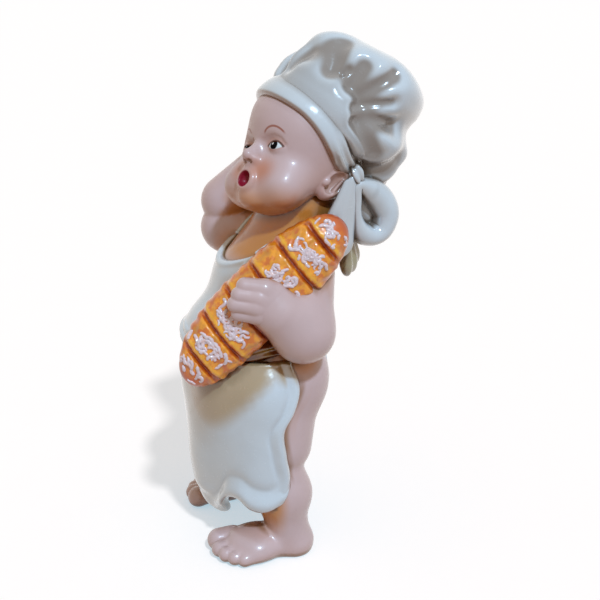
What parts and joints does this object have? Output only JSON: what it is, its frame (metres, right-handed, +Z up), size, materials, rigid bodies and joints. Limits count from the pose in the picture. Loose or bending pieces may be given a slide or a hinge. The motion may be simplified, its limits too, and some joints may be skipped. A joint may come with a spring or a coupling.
{
  "type": "girl figurine",
  "caption": "Glazed ceramic figurine of a small child in a baker's hat and apron, standing barefoot and hugging a long slashed loaf.",
  "frame": {"origin": "middle of the ground under the figure, between its two soles", "axes": "+Z up, the figure faces -Y, its own left side is +X"},
  "size_m": [0.0848, 0.0974, 0.1911],
  "materials": {
    "skin_glaze": "glossy",
    "cloth_glaze": "glossy",
    "cream_glaze": "glossy",
    "crust_glaze": "satin"
  },
  "bodies": {
    "root": {"torso": "skin_glaze", "head": "skin_glaze", "left_ear": "skin_glaze", "right_ear": "skin_glaze", "left_leg": "skin_glaze", "right_leg": "skin_glaze", "left_arm": "skin_glaze", "left_hand": "skin_glaze", "right_arm": "skin_glaze", "right_hand": "skin_glaze", "hat_band": "cloth_glaze", "hat_crown": "cloth_glaze", "hat_bow_knot": "cloth_glaze", "hat_bow_strand": "cloth_glaze", "hat_bow_loop": "cloth_glaze", "apron_waistband": "cloth_glaze", "apron_bib": "cloth_glaze", "apron_neck_strap": "cloth_glaze", "apron_skirt": "cloth_glaze", "apron_bow_knot": "cloth_glaze", "apron_bow_loop_left": "cloth_glaze", "apron_bow_loop_right": "cloth_glaze", "apron_bow_tail_left": "cloth_glaze", "apron_bow_tail_right": "cloth_glaze", "hat_bow_tail": "cream_glaze", "loaf": "crust_glaze"}
  },
  "joints": []
}
